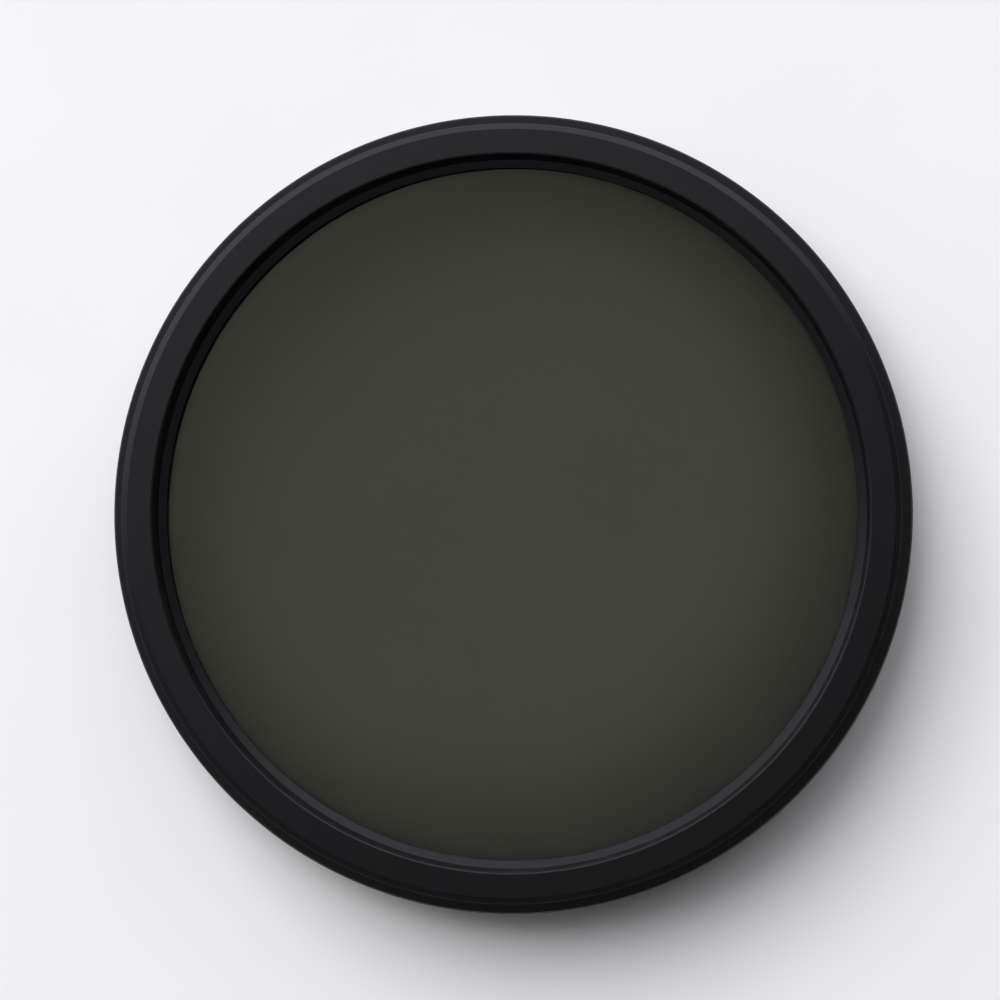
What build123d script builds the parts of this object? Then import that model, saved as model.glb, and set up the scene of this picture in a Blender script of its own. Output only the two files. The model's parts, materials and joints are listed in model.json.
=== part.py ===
from build123d import *
import math
import os

# Lens thread, fine metric, the same nominal size at both ends of the ring
THREAD_D = 52.0
THREAD_PITCH = 0.75
FEMALE_DEPTH_PER_PITCH = 0.5413
MALE_DEPTH_PER_PITCH = 0.6134
MALE_CREST_ALLOWANCE = 0.02

# Flange outside
SHOULDER_WIDTH = 1.0
RIM_CHAMFER = 0.3
SHOULDER_CHAMFER = 0.12

# Serrated grip on the flange
GRIP_LAND = 1.0
GROOVE_PITCH = 1.05
GROOVE_MOUTH = 0.66
GROOVE_FLOOR = 0.22
GROOVE_DEPTH = 0.28

# Male thread collar
COLLAR_HEIGHT = 2.8
COLLAR_WALL = 2.1
LEAD_WIDTH = 0.43
LEAD_ANGLE = 32
BORE_CHAMFER = 0.08
RELIEF_WIDTH = 0.4
RELIEF_UNDERCUT = 0.06
RELIEF_DIP = 0.1
RELIEF_RUNOUT = 0.25
SHOULDER_LAND_GAP = 0.05

# Lip that the glass seats against
LIP_REACH = 0.48
LIP_LAND = 0.22
LIP_RISE = 0.48
SEAT_BELOW_SHOULDER = 0.4

# Glass disc
GLASS_BEARING = 1.45
GLASS_THICKNESS = 1.8
GLASS_EDGE_CHAMFER = 0.15
GLASS_CLEARANCE = 0.08
GLASS_PROUD = 0.1

# Free female thread at the front, and the step behind it
FREE_THREAD_DEPTH = 2.1
MOUTH_CHAMFER = 0.3
RETAINER_BORE_STEP = 0.35

# Retaining ring, recessed behind that step
RETAINER_RECESS = 0.2
RETAINER_HEIGHT = 0.9
RETAINER_WIDTH = 1.5
RETAINER_CLEARANCE = 0.04
RETAINER_CHAMFER = 0.2
NOTCH_WIDTH = 1.6
NOTCH_DEPTH = 0.5
NOTCH_COUNT = 2

# Radii that follow from the thread
nominal_r = THREAD_D / 2
male_crest_r = nominal_r - MALE_CREST_ALLOWANCE
male_root_r = nominal_r - MALE_DEPTH_PER_PITCH * THREAD_PITCH
female_crest_r = nominal_r - FEMALE_DEPTH_PER_PITCH * THREAD_PITCH
relief_r = male_root_r - RELIEF_UNDERCUT
shoulder_land_r = male_crest_r + SHOULDER_LAND_GAP
flange_r = nominal_r + SHOULDER_WIDTH
collar_bore_r = nominal_r - COLLAR_WALL
aperture_r = collar_bore_r - LIP_REACH
glass_r = aperture_r + GLASS_BEARING
pocket_r = glass_r + GLASS_CLEARANCE
step_bore_r = female_crest_r - RETAINER_BORE_STEP
retainer_r = step_bore_r - RETAINER_CLEARANCE
retainer_bore_r = retainer_r - RETAINER_WIDTH

# Heights above the front rim, stacked from the rim up
retainer_front_z = FREE_THREAD_DEPTH + RETAINER_RECESS
glass_front_z = retainer_front_z + RETAINER_HEIGHT
seat_z = glass_front_z + GLASS_THICKNESS
pocket_step_z = glass_front_z + GLASS_PROUD
lip_edge_z = seat_z + LIP_LAND
cone_top_z = lip_edge_z + LIP_RISE
shoulder_z = seat_z + SEAT_BELOW_SHOULDER
relief_top_z = shoulder_z + RELIEF_WIDTH
collar_top_z = shoulder_z + COLLAR_HEIGHT
lead_z = collar_top_z - LEAD_WIDTH * math.tan(math.radians(LEAD_ANGLE))


def turned(points):
    """Solid of revolution about Z from (radius, height) points."""
    with BuildPart() as lathe:
        with BuildSketch(Plane.XZ):
            with BuildLine():
                Polyline(*points, close=True)
            make_face()
        revolve(axis=Axis.Z)
    return lathe.part


def ring_section():
    """Section of the ring: outside from the rim up, then inside back down."""
    outside = [
        (female_crest_r + MOUTH_CHAMFER, 0),
        (flange_r - RIM_CHAMFER, 0),
        (flange_r, RIM_CHAMFER),
        (flange_r, shoulder_z - SHOULDER_CHAMFER),
        (flange_r - SHOULDER_CHAMFER, shoulder_z),
        (shoulder_land_r, shoulder_z),
        (shoulder_land_r - RELIEF_DIP, shoulder_z - RELIEF_DIP),
        (relief_r, shoulder_z - RELIEF_DIP),
        (relief_r, relief_top_z),
        (male_crest_r, relief_top_z + RELIEF_RUNOUT),
        (male_crest_r, lead_z),
        (male_crest_r - LEAD_WIDTH, collar_top_z),
    ]
    inside = [
        (collar_bore_r + BORE_CHAMFER, collar_top_z),
        (collar_bore_r, collar_top_z - BORE_CHAMFER),
        (collar_bore_r, cone_top_z),
        (aperture_r, lip_edge_z),
        (aperture_r, seat_z),
        (pocket_r, seat_z),
        (pocket_r, pocket_step_z),
        (step_bore_r, pocket_step_z),
        (step_bore_r, FREE_THREAD_DEPTH),
        (female_crest_r, FREE_THREAD_DEPTH),
        (female_crest_r, MOUTH_CHAMFER),
    ]
    return outside + inside


def grip_grooves():
    """Flat-bottomed serrations round the flange, between the two plain lands."""
    groove_count = round(2 * math.pi * flange_r / GROOVE_PITCH)
    outer_width = 2 * GROOVE_MOUTH - GROOVE_FLOOR
    with BuildPart() as cutter:
        with BuildSketch(Plane.XY.offset(GRIP_LAND)):
            with PolarLocations(flange_r, groove_count):
                Polygon(
                    (-GROOVE_DEPTH, -GROOVE_FLOOR / 2),
                    (GROOVE_DEPTH, -outer_width / 2),
                    (GROOVE_DEPTH, outer_width / 2),
                    (-GROOVE_DEPTH, GROOVE_FLOOR / 2),
                    align=None,
                )
        extrude(amount=shoulder_z - 2 * GRIP_LAND)
    return cutter.part


def filter_ring():
    return turned(ring_section()) - grip_grooves()


def filter_glass():
    """Flat disc with ground chamfers, held between the lip and the retaining ring."""
    return turned([
        (0, glass_front_z),
        (glass_r - GLASS_EDGE_CHAMFER, glass_front_z),
        (glass_r, glass_front_z + GLASS_EDGE_CHAMFER),
        (glass_r, seat_z - GLASS_EDGE_CHAMFER),
        (glass_r - GLASS_EDGE_CHAMFER, seat_z),
        (0, seat_z),
    ])


def spanner_notches():
    """Slots across the front of the retaining ring, for a two-pin spanner."""
    mid_r = (retainer_r + retainer_bore_r) / 2
    with BuildPart() as cutter:
        with BuildSketch(Plane.XY.offset(retainer_front_z)):
            with PolarLocations(mid_r, NOTCH_COUNT):
                Rectangle(2 * RETAINER_WIDTH, NOTCH_WIDTH)
        extrude(amount=NOTCH_DEPTH)
    return cutter.part


def retaining_ring():
    """Ring that clamps the glass, its inner edge chamfered towards the front."""
    body = turned([
        (retainer_bore_r + RETAINER_CHAMFER, retainer_front_z),
        (retainer_r, retainer_front_z),
        (retainer_r, glass_front_z),
        (retainer_bore_r, glass_front_z),
        (retainer_bore_r, retainer_front_z + RETAINER_CHAMFER),
    ])
    return body - spanner_notches()


os.makedirs("parts", exist_ok=True)
export_step(filter_ring(), "parts/filter_ring.step")
export_step(filter_glass(), "parts/filter_glass.step")
export_step(retaining_ring(), "parts/retaining_ring.step")
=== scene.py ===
import json
import math

import bmesh
import bpy
import numpy as np
from mathutils import Matrix, Vector


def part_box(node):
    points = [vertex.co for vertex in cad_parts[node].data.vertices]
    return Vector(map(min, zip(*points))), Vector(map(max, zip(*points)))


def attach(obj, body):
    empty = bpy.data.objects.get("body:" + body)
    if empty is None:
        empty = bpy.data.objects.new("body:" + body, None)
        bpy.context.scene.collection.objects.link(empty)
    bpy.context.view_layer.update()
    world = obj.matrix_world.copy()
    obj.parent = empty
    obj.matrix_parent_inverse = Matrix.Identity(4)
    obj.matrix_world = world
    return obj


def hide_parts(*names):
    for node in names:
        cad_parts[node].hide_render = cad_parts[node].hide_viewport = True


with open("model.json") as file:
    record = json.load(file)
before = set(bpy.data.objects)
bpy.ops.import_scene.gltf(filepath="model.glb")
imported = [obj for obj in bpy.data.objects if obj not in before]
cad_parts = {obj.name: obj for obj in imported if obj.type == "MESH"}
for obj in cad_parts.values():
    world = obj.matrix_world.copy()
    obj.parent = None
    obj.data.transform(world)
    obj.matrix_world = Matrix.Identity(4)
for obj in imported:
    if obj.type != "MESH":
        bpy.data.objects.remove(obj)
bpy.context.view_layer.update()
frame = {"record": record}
MM = 0.001

# Sizes in millimetres that the solids and the record give
mount_sizes = {mount["name"]: mount["dims"] for mount in frame["record"]["mounts"]}
male_crest_r = mount_sizes["rear_thread"]["r_mm"]
female_crest_r = mount_sizes["front_thread"]["r_mm"]
ring_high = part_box("filter_ring")[1] / MM
glass_low, glass_high = (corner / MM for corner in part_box("filter_glass"))
retainer_low, retainer_high = (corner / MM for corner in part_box("retaining_ring"))
flange_r = ring_high.x
collar_top_z = ring_high.z
glass_r = glass_high.x
glass_front_z = glass_low.z
seat_z = glass_high.z
retainer_r = retainer_high.x
retainer_front_z = retainer_low.z

# Ring section in millimetres, the same named sizes as in the solids
THREAD_PITCH = 0.75
FEMALE_DEPTH_PER_PITCH = 0.5413
MALE_DEPTH_PER_PITCH = 0.6134
MALE_CREST_ALLOWANCE = 0.02
RIM_CHAMFER = 0.3
SHOULDER_CHAMFER = 0.12
COLLAR_HEIGHT = 2.8
COLLAR_WALL = 2.08
LEAD_WIDTH = 0.43
LEAD_ANGLE = 32
BORE_CHAMFER = 0.08
RELIEF_WIDTH = 0.4
RELIEF_UNDERCUT = 0.06
RELIEF_DIP = 0.1
RELIEF_RUNOUT = 0.25
SHOULDER_LAND_GAP = 0.05
LIP_REACH = 0.48
LIP_LAND = 0.22
LIP_RISE = 0.48
GLASS_CLEARANCE = 0.08
GLASS_PROUD = 0.1
GLASS_EDGE_CHAMFER = 0.15
FREE_THREAD_DEPTH = 2.1
MOUTH_CHAMFER = 0.3
RETAINER_CLEARANCE = 0.04
RETAINER_WIDTH = 1.5
RETAINER_CHAMFER = 0.2
NOTCH_WIDTH = 1.6
NOTCH_DEPTH = 0.5
NOTCH_COUNT = 2

# Grip serrations
GRIP_LAND = 1.0
GROOVE_PITCH = 1.05
GROOVE_MOUTH = 0.66
GROOVE_FLOOR = 0.22
GROOVE_DEPTH = 0.28

# Rounded end of each serration: height past the land, and share of the full depth
GROOVE_RUN_OUT = [(-0.04, 0), (0.0, 0.14), (0.05, 0.62), (0.1, 0.93), (0.14, 1)]

# Thread profile, and how each thread starts, stops and fades
THREAD_FLANK_ANGLE = 30
THREAD_CRESTS_PER_PITCH = 8
THREAD_SPARE_TURNS = 2
MALE_END_GAP = 0.05
MALE_FADE_LOW = 0.1
MALE_FADE_HIGH = 0.3
FEMALE_START_GAP = 0.03
FEMALE_END_GAP = 0.05
FEMALE_FADE_LOW = 0.25
FEMALE_FADE_HIGH = 0.2

# Rounded edges, and how finely the turned meshes are divided
EDGE_ROUNDING = 0.03
GROOVE_ROUNDING = 0.05
THREAD_ROUNDING = 0.012
LARGEST_ARC_SHARE = 0.45
ARC_STEPS = 2
PLAIN_COLUMNS_PER_GROOVE = 3
RETAINER_COLUMNS_PER_NOTCH = 180
NOTCH_EDGE_SHARE = 0.3
GLASS_RING_SHARES = (0, 0.3, 0.6, 0.85)
WELD_DISTANCE = 2e-7
TINY = 1e-30

shoulder_z = collar_top_z - COLLAR_HEIGHT
male_depth = MALE_DEPTH_PER_PITCH * THREAD_PITCH
female_depth = FEMALE_DEPTH_PER_PITCH * THREAD_PITCH
relief_r = male_crest_r + MALE_CREST_ALLOWANCE - male_depth - RELIEF_UNDERCUT
shoulder_land_r = male_crest_r + SHOULDER_LAND_GAP
collar_bore_r = male_crest_r - COLLAR_WALL
aperture_r = collar_bore_r - LIP_REACH
pocket_r = glass_r + GLASS_CLEARANCE
step_bore_r = retainer_r + RETAINER_CLEARANCE
retainer_bore_r = retainer_r - RETAINER_WIDTH
pocket_step_z = glass_front_z + GLASS_PROUD
lip_edge_z = seat_z + LIP_LAND
cone_top_z = lip_edge_z + LIP_RISE
relief_top_z = shoulder_z + RELIEF_WIDTH
thread_start_z = relief_top_z + RELIEF_RUNOUT
lead_z = collar_top_z - LEAD_WIDTH * math.tan(math.radians(LEAD_ANGLE))
groove_count = round(2 * math.pi * flange_r / GROOVE_PITCH)


def corner_arc(before, corner, after, rounding):
    """Points of a small arc that rounds one corner of an outline."""
    corner = np.array(corner, float)
    to_before = np.array(before, float) - corner
    to_after = np.array(after, float) - corner
    length_before = np.linalg.norm(to_before)
    length_after = np.linalg.norm(to_after)
    to_before /= length_before
    to_after /= length_after
    half_angle = math.acos(np.clip(to_before @ to_after, -1, 1)) / 2
    longest_cut = LARGEST_ARC_SHARE * min(length_before, length_after)
    cut = min(rounding / math.tan(half_angle), longest_cut)
    radius = cut * math.tan(half_angle)
    middle = (to_before + to_after) / np.linalg.norm(to_before + to_after)
    centre = corner + middle * cut / math.cos(half_angle)
    start = (corner + to_before * cut - centre) / radius
    end = (corner + to_after * cut - centre) / radius
    sweep = math.pi - 2 * half_angle
    points = []
    for step in range(ARC_STEPS + 1):
        share = step / ARC_STEPS
        mix = math.sin((1 - share) * sweep) * start + math.sin(share * sweep) * end
        points.append(tuple(centre + mix / math.sin(sweep) * radius))
    return points


def rounded_corners(points, rounding):
    """One short arc for each corner of a closed outline."""
    count = len(points)
    return [
        corner_arc(points[i - 1], points[i], points[(i + 1) % count], rounding)
        for i in range(count)
    ]


def smoothstep(value):
    value = np.clip(value, 0, 1)
    return value * value * (3 - 2 * value)


def columns_per_groove():
    """Angles in radians of one groove's plain and fine columns, and the fine ones' depths."""
    half_period = math.pi / groove_count
    half_land = half_period * flange_r
    outline = [
        (half_land, 0),
        (GROOVE_MOUTH / 2, 0),
        (GROOVE_FLOOR / 2, GROOVE_DEPTH),
        (-GROOVE_FLOOR / 2, GROOVE_DEPTH),
    ]
    side = corner_arc(*outline[:3], GROOVE_ROUNDING) + corner_arc(*outline[1:], GROOVE_ROUNDING)
    fine = [(-half_land, 0)] + [(-u, d) for u, d in side] + list(reversed(side))
    count = PLAIN_COLUMNS_PER_GROOVE
    plain = [half_period * (2 * k / count - 1) for k in range(count)]
    angles = [u / flange_r for u, _ in fine]
    depths = [d for _, d in fine]
    return np.array(plain), np.array(angles), np.array(depths)


def all_round(one_period):
    """The columns of every groove, and the first one again a full turn on."""
    period = 2 * math.pi / groove_count
    turns = np.arange(groove_count)[:, None] * period
    return np.append((one_period[None, :] + turns).ravel(), one_period[0] + 2 * math.pi)


plain_period, fine_period, fine_depths = columns_per_groove()
PLAIN = all_round(plain_period)
FINE = all_round(fine_period)
FINE_DEPTH = np.append(np.tile(fine_depths, groove_count), fine_depths[0])


class Row:
    """Angle, radius and height of each vertex in one line of a mesh. A plain row is a true circle."""

    def __init__(self, angle, radius, height, plain=False):
        self.angle = angle
        self.radius = np.broadcast_to(radius, angle.shape)
        self.height = np.broadcast_to(height, angle.shape)
        self.plain = plain


def plain_rows(points):
    return [Row(PLAIN, r, z, plain=True) for r, z in points]


def grip_rows(low_z, high_z):
    """Serrated wall between two plain lands, each groove with a short rounded end."""
    heights = [(low_z + dz, share) for dz, share in GROOVE_RUN_OUT]
    heights += [(high_z - dz, share) for dz, share in reversed(GROOVE_RUN_OUT)]
    return [
        Row(FINE, flange_r - FINE_DEPTH * share, z, plain=share == 0)
        for z, share in heights
    ]


def thread_rows(crest_r, depth, low_z, high_z, fade_low, fade_high, downwards=False):
    """A helical thread between two heights. A positive depth cuts inwards, a negative one outwards."""
    flank = abs(depth) * math.tan(math.radians(THREAD_FLANK_ANGLE))
    crest = THREAD_PITCH / THREAD_CRESTS_PER_PITCH
    root = THREAD_PITCH - 2 * flank - crest
    breaks = np.cumsum([crest, flank, root, flank])
    marks = sorted(b + s * THREAD_ROUNDING for b in breaks for s in (-1, 1))
    profile_z = np.array([0, crest, crest + flank, crest + flank + root, THREAD_PITCH])
    profile_depth = np.array([0, 0, 1, 1, 0])
    span = high_z - low_z
    turns = math.ceil(span / THREAD_PITCH)
    lead = (PLAIN - PLAIN[0]) / (2 * math.pi)
    rows = []
    for turn in range(-THREAD_SPARE_TURNS, turns + 1):
        for mark in marks:
            z = low_z + mark + THREAD_PITCH * (turn + lead)
            z = np.clip(z, low_z, high_z)
            phase = np.mod(z - low_z - THREAD_PITCH * lead, THREAD_PITCH)
            cut = np.interp(phase, profile_z, profile_depth)
            fade = smoothstep((z - low_z) / fade_low) * smoothstep((high_z - z) / fade_high)
            rows.append(Row(PLAIN, crest_r - depth * cut * fade, z))
    if downwards:
        rows.reverse()
    return rows


def quad_strip(lower, upper, faces):
    for i in range(len(lower) - 1):
        faces.append((lower[i], lower[i + 1], upper[i + 1], upper[i]))


def stepped_strip(lower, upper, faces):
    """Joins a row of plain columns to a row of fine ones, groove by groove, with fans of triangles."""
    steps_lower = (len(lower) - 1) // groove_count
    steps_upper = (len(upper) - 1) // groove_count
    for groove in range(groove_count):
        low = lower[groove * steps_lower:(groove + 1) * steps_lower + 1]
        high = upper[groove * steps_upper:(groove + 1) * steps_upper + 1]
        i = 0
        j = 0
        while i < steps_lower or j < steps_upper:
            if i == steps_lower or (j < steps_upper and j * steps_lower <= i * steps_upper):
                faces.append((low[i], high[j + 1], high[j]))
                j += 1
            else:
                faces.append((low[i], low[i + 1], high[j]))
                i += 1


def turned_mesh(name, rows, closed=True):
    """A watertight mesh through all the rows, with normals that keep flats flat and edges rounded."""
    vertices = []
    row_of = []
    index = []
    for k, row in enumerate(rows):
        start = len(vertices)
        across = row.radius * np.cos(row.angle)
        along = row.radius * np.sin(row.angle)
        points = np.stack([across, along, row.height], 1)
        vertices.extend((points * MM).tolist())
        row_of.extend([k if row.plain else -1] * len(points))
        index.append(list(range(start, start + len(points))))
    faces = []
    pairs = list(zip(index, index[1:]))
    if closed:
        pairs.append((index[-1], index[0]))
    for lower, upper in pairs:
        if len(lower) == len(upper):
            quad_strip(lower, upper, faces)
        else:
            stepped_strip(lower, upper, faces)
    mesh = bpy.data.meshes.new(name)
    mesh.from_pydata(vertices, [], faces)
    attribute = mesh.attributes.new("turned_row", "INT", "POINT")
    attribute.data.foreach_set("value", row_of)
    weld(mesh)
    set_turned_normals(mesh)
    piece = bpy.data.objects.new(name, mesh)
    bpy.context.scene.collection.objects.link(piece)
    return piece


def weld(mesh):
    """Closes the seam and drops the faces that have no area."""
    shape = bmesh.new()
    shape.from_mesh(mesh)
    bmesh.ops.remove_doubles(shape, verts=shape.verts, dist=WELD_DISTANCE)
    bmesh.ops.dissolve_degenerate(shape, edges=shape.edges, dist=WELD_DISTANCE)
    bmesh.ops.recalc_face_normals(shape, faces=shape.faces)
    shape.to_mesh(mesh)
    shape.free()


def set_turned_normals(mesh):
    """Area-weighted vertex normals, averaged round each plain row so that turned faces shade evenly."""
    mesh.polygons.foreach_set("use_smooth", [True] * len(mesh.polygons))
    count = len(mesh.vertices)
    position = np.empty(count * 3)
    mesh.vertices.foreach_get("co", position)
    position = position.reshape(-1, 3)
    face_normal = np.empty(len(mesh.polygons) * 3)
    mesh.polygons.foreach_get("normal", face_normal)
    face_area = np.empty(len(mesh.polygons))
    mesh.polygons.foreach_get("area", face_area)
    face_size = np.empty(len(mesh.polygons), int)
    mesh.polygons.foreach_get("loop_total", face_size)
    corner_vertex = np.empty(len(mesh.loops), int)
    mesh.loops.foreach_get("vertex_index", corner_vertex)
    weighted = face_normal.reshape(-1, 3) * face_area[:, None]
    normal = np.zeros((count, 3))
    np.add.at(normal, corner_vertex, np.repeat(weighted, face_size, axis=0))
    normal /= np.maximum(np.linalg.norm(normal, axis=1), TINY)[:, None]
    row_of = np.empty(count, int)
    mesh.attributes["turned_row"].data.foreach_get("value", row_of)
    distance = np.maximum(np.hypot(position[:, 0], position[:, 1]), TINY)
    outward = position[:, :2] / distance[:, None]
    radial = (normal[:, :2] * outward).sum(1)
    for row in range(row_of.max() + 1):
        members = row_of == row
        if members.any():
            mean_r = radial[members].mean()
            mean_z = normal[members, 2].mean()
            length = math.hypot(mean_r, mean_z)
            normal[members, :2] = outward[members] * mean_r / length
            normal[members, 2] = mean_z / length
    mesh.normals_split_custom_set_from_vertices(normal.tolist())


def ring_corners():
    """Section of the ring: outside from the rim up, then inside back down."""
    return [
        (female_crest_r + MOUTH_CHAMFER, 0),
        (flange_r - RIM_CHAMFER, 0),
        (flange_r, RIM_CHAMFER),
        (flange_r, shoulder_z - SHOULDER_CHAMFER),
        (flange_r - SHOULDER_CHAMFER, shoulder_z),
        (shoulder_land_r, shoulder_z),
        (shoulder_land_r - RELIEF_DIP, shoulder_z - RELIEF_DIP),
        (relief_r, shoulder_z - RELIEF_DIP),
        (relief_r, relief_top_z),
        (male_crest_r, thread_start_z),
        (male_crest_r, lead_z),
        (male_crest_r - LEAD_WIDTH, collar_top_z),
        (collar_bore_r + BORE_CHAMFER, collar_top_z),
        (collar_bore_r, collar_top_z - BORE_CHAMFER),
        (collar_bore_r, cone_top_z),
        (aperture_r, lip_edge_z),
        (aperture_r, seat_z),
        (pocket_r, seat_z),
        (pocket_r, pocket_step_z),
        (step_bore_r, pocket_step_z),
        (step_bore_r, FREE_THREAD_DEPTH),
        (female_crest_r, FREE_THREAD_DEPTH),
        (female_crest_r, MOUTH_CHAMFER),
    ]


def make_filter_ring():
    """The turned ring with its serrated grip and both threads."""
    corners = ring_corners()
    arcs = rounded_corners(corners, EDGE_ROUNDING)
    grip_corner = corners.index((flange_r, RIM_CHAMFER))
    male_corner = corners.index((male_crest_r, thread_start_z))
    female_corner = corners.index((female_crest_r, FREE_THREAD_DEPTH))
    rows = []
    for k, arc in enumerate(arcs):
        rows += plain_rows(arc)
        if k == grip_corner:
            rows += grip_rows(GRIP_LAND, shoulder_z - GRIP_LAND)
        elif k == male_corner:
            rows += thread_rows(
                male_crest_r,
                male_depth,
                low_z=arc[-1][1],
                high_z=lead_z - MALE_END_GAP,
                fade_low=MALE_FADE_LOW,
                fade_high=MALE_FADE_HIGH,
            )
        elif k == female_corner:
            rows += thread_rows(
                female_crest_r,
                -female_depth,
                low_z=MOUTH_CHAMFER + FEMALE_START_GAP,
                high_z=arc[-1][1] - FEMALE_END_GAP,
                fade_low=FEMALE_FADE_LOW,
                fade_high=FEMALE_FADE_HIGH,
                downwards=True,
            )
    return turned_mesh("filter_ring_finish", rows)


def make_filter_glass():
    """Flat ground disc with small polished chamfers."""
    corners = [
        (glass_r - GLASS_EDGE_CHAMFER, glass_front_z),
        (glass_r, glass_front_z + GLASS_EDGE_CHAMFER),
        (glass_r, seat_z - GLASS_EDGE_CHAMFER),
        (glass_r - GLASS_EDGE_CHAMFER, seat_z),
    ]
    inner = [glass_r * share for share in GLASS_RING_SHARES]
    points = [(r, glass_front_z) for r in inner]
    for arc in rounded_corners(corners, EDGE_ROUNDING / 2):
        points += arc
    points += [(r, seat_z) for r in reversed(inner)]
    return turned_mesh("filter_glass_disc", plain_rows(points), closed=False)


def notched_row(r, z):
    """One turned row of the retaining ring that bends down the walls of the notches."""
    half = NOTCH_WIDTH / 2
    lip = EDGE_ROUNDING
    part_lip = lip * NOTCH_EDGE_SHARE
    floor_z = retainer_front_z + NOTCH_DEPTH
    offsets = [-half - lip, -half - part_lip, -half, -half, half, half, half + part_lip, half + lip]
    edge_z = [retainer_front_z + drop for drop in (0, part_lip, lip)]
    least_z = edge_z + [floor_z, floor_z] + list(reversed(edge_z))
    period = 2 * math.pi / NOTCH_COUNT
    lip_angle = math.asin((half + lip) / r)
    angle = []
    height = []
    for notch in range(NOTCH_COUNT):
        centre = notch * period
        for offset, least in zip(offsets, least_z):
            angle.append(centre + math.asin(offset / r))
            height.append(max(z, least))
        start = centre + lip_angle
        end = centre + period - lip_angle
        for step in range(1, RETAINER_COLUMNS_PER_NOTCH):
            angle.append(start + (end - start) * step / RETAINER_COLUMNS_PER_NOTCH)
            height.append(z)
    angle.append(angle[0] + 2 * math.pi)
    height.append(height[0])
    return Row(np.array(angle), r, np.array(height))


def make_retaining_ring():
    """Clamping ring with two parallel-sided spanner notches across its front face."""
    corners = [
        (retainer_bore_r + RETAINER_CHAMFER, retainer_front_z),
        (retainer_r, retainer_front_z),
        (retainer_r, glass_front_z),
        (retainer_bore_r, glass_front_z),
        (retainer_bore_r, retainer_front_z + RETAINER_CHAMFER),
    ]
    rows = []
    for arc in rounded_corners(corners, EDGE_ROUNDING):
        rows += [notched_row(r, z) for r, z in arc]
    return turned_mesh("retaining_ring_finish", rows)


def new_material(name):
    material = bpy.data.materials.new(name)
    material.use_nodes = True
    nodes = material.node_tree.nodes
    return material, nodes, material.node_tree.links, nodes["Principled BSDF"]


def turning_coordinate(nodes, links):
    """A vector that is the same all round a circle, so noise on it looks like turning marks."""
    place = nodes.new("ShaderNodeTexCoord")
    split = nodes.new("ShaderNodeSeparateXYZ")
    flat = nodes.new("ShaderNodeCombineXYZ")
    length = nodes.new("ShaderNodeVectorMath")
    length.operation = "LENGTH"
    joined = nodes.new("ShaderNodeCombineXYZ")
    links.new(place.outputs["Object"], split.inputs[0])
    links.new(split.outputs["X"], flat.inputs["X"])
    links.new(split.outputs["Y"], flat.inputs["Y"])
    links.new(flat.outputs[0], length.inputs[0])
    links.new(length.outputs["Value"], joined.inputs["X"])
    links.new(split.outputs["Z"], joined.inputs["Y"])
    return place, joined


def noise(nodes, links, vector, scale, detail, roughness):
    texture = nodes.new("ShaderNodeTexNoise")
    texture.inputs["Scale"].default_value = scale
    texture.inputs["Detail"].default_value = detail
    texture.inputs["Roughness"].default_value = roughness
    links.new(vector, texture.inputs["Vector"])
    return texture.outputs["Fac"]


def ramp(nodes, links, value, stops):
    mapping = nodes.new("ShaderNodeValToRGB")
    elements = mapping.color_ramp.elements
    while len(elements) < len(stops):
        elements.new(0.5)
    for element, (position, colour) in zip(elements, stops):
        element.position = position
        element.color = (*colour, 1)
    links.new(value, mapping.inputs["Fac"])
    return mapping.outputs["Color"]


def remap(nodes, links, value, low, high):
    mapping = nodes.new("ShaderNodeMapRange")
    mapping.inputs["To Min"].default_value = low
    mapping.inputs["To Max"].default_value = high
    links.new(value, mapping.inputs["Value"])
    return mapping.outputs["Result"]


# The dye gives the black metal's reflections a blue cast
SHEEN_TINT = (0.88, 0.91, 1.0, 1)

# Turning marks, in metres deep and per metre across
MARK_SCALE = 9000
MARK_DEPTH = 0.00002
MARK_STRENGTH = 0.12
MOTTLE_SCALE = 420

# Glass: faint clouds of colour, and a fine haze of dust
GLASS_TINTS = [(0.3, (0.212, 0.216, 0.195)), (0.7, (0.218, 0.222, 0.2))]
GLASS_IOR = 1.52
CLOUD_SCALE = 90
HAZE_SCALE = 2600
HAZE_ROUGHNESS = 0.02

# Floor
FLOOR_GREYS = [(0.3, (0.86, 0.86, 0.86)), (0.7, (0.88, 0.88, 0.88))]
FLOOR_GRAIN_SCALE = 60
FLOOR_SIZE = 3
FLOOR_DROP = 0.00002


def black_anodised(name, dark, light, roughness_low, roughness_high, level):
    """Satin black anodised aluminium: fine turning marks, faint mottling of the dye."""
    material, nodes, links, shader = new_material(name)
    place, turned = turning_coordinate(nodes, links)
    mottle = noise(nodes, links, place.outputs["Object"], MOTTLE_SCALE, detail=4, roughness=0.6)
    marks = noise(nodes, links, turned.outputs[0], MARK_SCALE, detail=3, roughness=0.6)
    colour = ramp(nodes, links, mottle, [(0.3, dark), (0.7, light)])
    roughness = remap(nodes, links, marks, roughness_low, roughness_high)
    links.new(colour, shader.inputs["Base Color"])
    links.new(roughness, shader.inputs["Roughness"])
    shader.inputs["Specular IOR Level"].default_value = level
    shader.inputs["Specular Tint"].default_value = SHEEN_TINT
    bump = nodes.new("ShaderNodeBump")
    bump.inputs["Strength"].default_value = MARK_STRENGTH
    bump.inputs["Distance"].default_value = MARK_DEPTH
    links.new(marks, bump.inputs["Height"])
    links.new(bump.outputs["Normal"], shader.inputs["Normal"])
    return material


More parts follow.
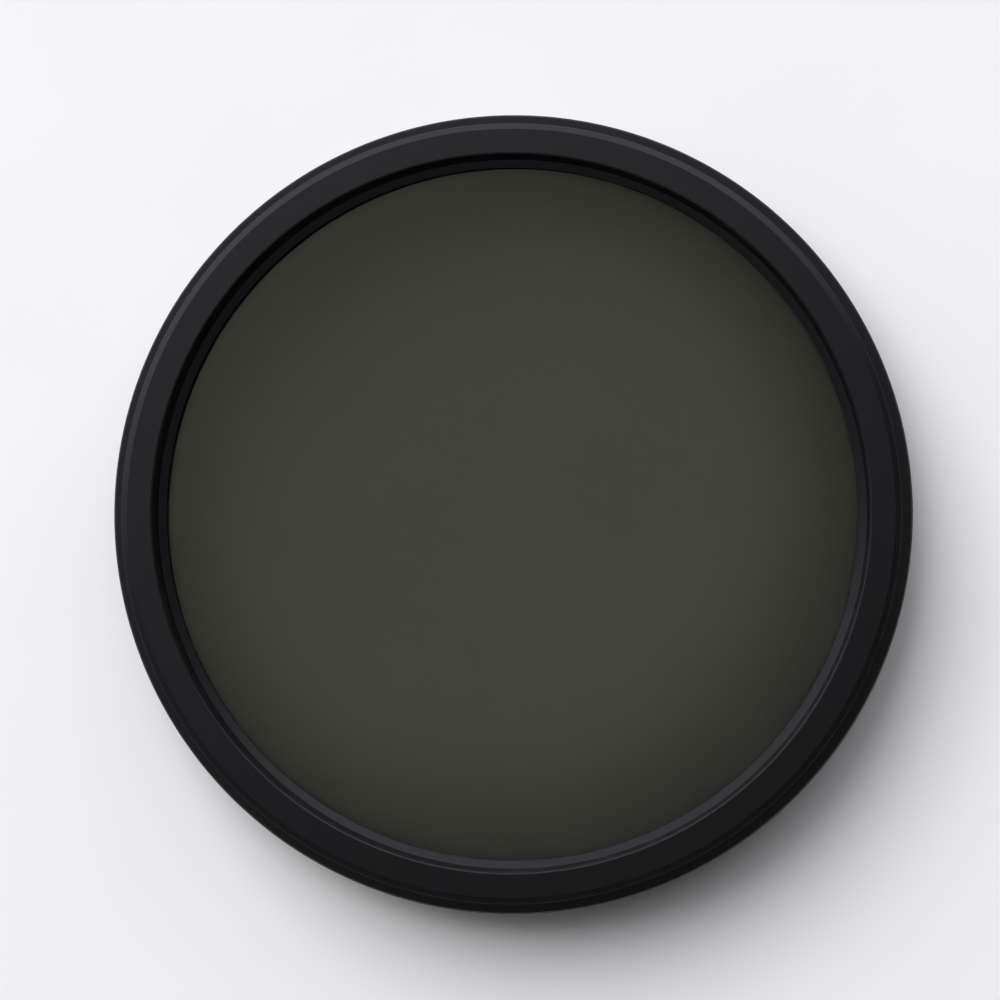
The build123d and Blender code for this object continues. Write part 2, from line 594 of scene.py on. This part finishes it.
def olive_glass():
    """Dark olive-grey body-tinted glass, polished, with a trace of dust."""
    material, nodes, links, shader = new_material("olive_glass")
    place = nodes.new("ShaderNodeTexCoord")
    cloud = noise(nodes, links, place.outputs["Object"], CLOUD_SCALE, detail=3, roughness=0.5)
    haze = noise(nodes, links, place.outputs["Object"], HAZE_SCALE, detail=5, roughness=0.7)
    links.new(ramp(nodes, links, cloud, GLASS_TINTS), shader.inputs["Base Color"])
    links.new(remap(nodes, links, haze, 0, HAZE_ROUGHNESS), shader.inputs["Roughness"])
    shader.inputs["Transmission Weight"].default_value = 1
    shader.inputs["IOR"].default_value = GLASS_IOR
    return material


def floor_material():
    material, nodes, links, shader = new_material("pale_floor")
    place = nodes.new("ShaderNodeTexCoord")
    grain = noise(nodes, links, place.outputs["Object"], FLOOR_GRAIN_SCALE, detail=3, roughness=0.5)
    links.new(ramp(nodes, links, grain, FLOOR_GREYS), shader.inputs["Base Color"])
    shader.inputs["Roughness"].default_value = 0.9
    shader.inputs["Specular IOR Level"].default_value = 0.1
    return material


def make_floor():
    bpy.ops.mesh.primitive_plane_add(size=FLOOR_SIZE, location=(0, 0, -FLOOR_DROP))
    floor = bpy.context.object
    floor.name = "floor"
    floor.data.materials.append(floor_material())


# Sky: dark, with a wide bright side that stops short of the zenith, and a warm patch overhead
# Each range is of cosines from a glow's centre: where it starts, and where it is full
SKY_DARK = (0.012, 0.012, 0.013)
SIDE_COLOUR = (1.2, 1.2, 1.28)
SIDE_AZIMUTH = 107
SIDE_ELEVATION = 23
SIDE_RANGE = (0.15, 0.75)
ZENITH_RANGE = (0.955, 0.988)
PATCH_COLOUR = (0.68, 0.675, 0.525)
PATCH_AZIMUTH = 144
PATCH_ELEVATION = 85.7
PATCH_RANGE = (0.983, 0.996)

# Pale backdrop glow that fades out a little above the horizon
BACKDROP_COLOUR = (0.72, 0.73, 0.75)
BACKDROP_RANGE = (-0.2, -0.11)

# Large soft lamp that lights the floor and leaves no highlight on the metal
LAMP_PLACE = (-0.55, 0.75, 1.0)
LAMP_SIZE = 1.1
LAMP_POWER = 15.5


def direction(azimuth, elevation):
    azimuth = math.radians(azimuth)
    elevation = math.radians(elevation)
    return (
        math.cos(azimuth) * math.cos(elevation),
        math.sin(azimuth) * math.cos(elevation),
        math.sin(elevation),
    )


def sky_glow(nodes, links, place, towards, cosine_range, colour):
    """A soft-edged glow round one direction of the sky."""
    cosine = nodes.new("ShaderNodeVectorMath")
    cosine.operation = "DOT_PRODUCT"
    cosine.inputs[1].default_value = towards
    spread = nodes.new("ShaderNodeMapRange")
    spread.interpolation_type = "SMOOTHSTEP"
    spread.inputs["From Min"].default_value = cosine_range[0]
    spread.inputs["From Max"].default_value = cosine_range[1]
    tinted = nodes.new("ShaderNodeVectorMath")
    tinted.operation = "SCALE"
    tinted.inputs[0].default_value = colour
    links.new(place.outputs["Generated"], cosine.inputs[0])
    links.new(cosine.outputs["Value"], spread.inputs["Value"])
    links.new(spread.outputs["Result"], tinted.inputs["Scale"])
    return tinted.outputs[0]


def combine_vectors(nodes, links, operation, first, second):
    combined = nodes.new("ShaderNodeVectorMath")
    combined.operation = operation
    for socket, value in zip(combined.inputs, (first, second)):
        if isinstance(value, tuple):
            socket.default_value = value
        else:
            links.new(value, socket)
    return combined.outputs[0]


def add_vectors(nodes, links, first, second):
    return combine_vectors(nodes, links, "ADD", first, second)


def make_sky():
    world = bpy.data.worlds.new("soft_sky")
    bpy.context.scene.world = world
    world.use_nodes = True
    nodes = world.node_tree.nodes
    links = world.node_tree.links
    place = nodes.new("ShaderNodeTexCoord")
    towards_side = direction(SIDE_AZIMUTH, SIDE_ELEVATION)
    towards_patch = direction(PATCH_AZIMUTH, PATCH_ELEVATION)
    side = sky_glow(nodes, links, place, towards_side, SIDE_RANGE, SIDE_COLOUR)
    zenith = sky_glow(nodes, links, place, (0, 0, 1), ZENITH_RANGE, (-1, -1, -1))
    outside = add_vectors(nodes, links, zenith, (1, 1, 1))
    side = combine_vectors(nodes, links, "MULTIPLY", side, outside)
    patch = sky_glow(nodes, links, place, towards_patch, PATCH_RANGE, PATCH_COLOUR)
    backdrop = sky_glow(nodes, links, place, (0, 0, -1), BACKDROP_RANGE, BACKDROP_COLOUR)
    both = add_vectors(nodes, links, side, patch)
    all_glows = add_vectors(nodes, links, both, backdrop)
    links.new(add_vectors(nodes, links, all_glows, SKY_DARK), nodes["Background"].inputs["Color"])


def make_lamp():
    data = bpy.data.lights.new("overhead_lamp", "AREA")
    data.shape = "DISK"
    data.size = LAMP_SIZE
    data.energy = LAMP_POWER
    lamp = bpy.data.objects.new("overhead_lamp", data)
    bpy.context.scene.collection.objects.link(lamp)
    lamp.location = LAMP_PLACE
    lamp.rotation_mode = "QUATERNION"
    lamp.rotation_quaternion = (-Vector(LAMP_PLACE)).to_track_quat("-Z", "Y")
    lamp.visible_glossy = False


# Camera over the part, leaning slightly: places, lens and sensor in millimetres, clipping in metres
CAMERA_PLACE = Vector((7.8, -4.5, 175.4))
CAMERA_AIM = Vector((-0.7, 0.86, 5.4))
CAMERA_LENS = 90.8
CAMERA_SENSOR = 36
CLIP_NEAR = 0.01
CLIP_FAR = 10


def make_camera():
    data = bpy.data.cameras.new("camera")
    data.lens = CAMERA_LENS
    data.sensor_width = CAMERA_SENSOR
    data.clip_start = CLIP_NEAR
    data.clip_end = CLIP_FAR
    camera = bpy.data.objects.new("camera", data)
    bpy.context.scene.collection.objects.link(camera)
    forward = (CAMERA_AIM - CAMERA_PLACE).normalized()
    right = forward.cross(Vector((0, 1, 0))).normalized()
    up = right.cross(forward)
    turn = Matrix((right, up, -forward)).transposed()
    camera.matrix_world = Matrix.Translation(CAMERA_PLACE * MM) @ turn.to_4x4()
    bpy.context.scene.camera = camera


def dress(piece, material, node):
    piece.data.materials.append(material)
    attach(piece, "root")
    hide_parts(node)


outer_black = black_anodised(
    "black_anodised",
    dark=(0.0027, 0.0027, 0.0032),
    light=(0.0039, 0.004, 0.0048),
    roughness_low=0.28,
    roughness_high=0.32,
    level=0.4,
)
inner_black = black_anodised(
    "black_anodised_inner",
    dark=(0.004, 0.004, 0.0042),
    light=(0.006, 0.006, 0.0063),
    roughness_low=0.5,
    roughness_high=0.6,
    level=0.4,
)
dress(make_filter_ring(), outer_black, "filter_ring")
dress(make_filter_glass(), olive_glass(), "filter_glass")
dress(make_retaining_ring(), inner_black, "retaining_ring")
make_floor()
make_sky()
make_lamp()
make_camera()
bpy.context.scene.view_settings.view_transform = "Standard"
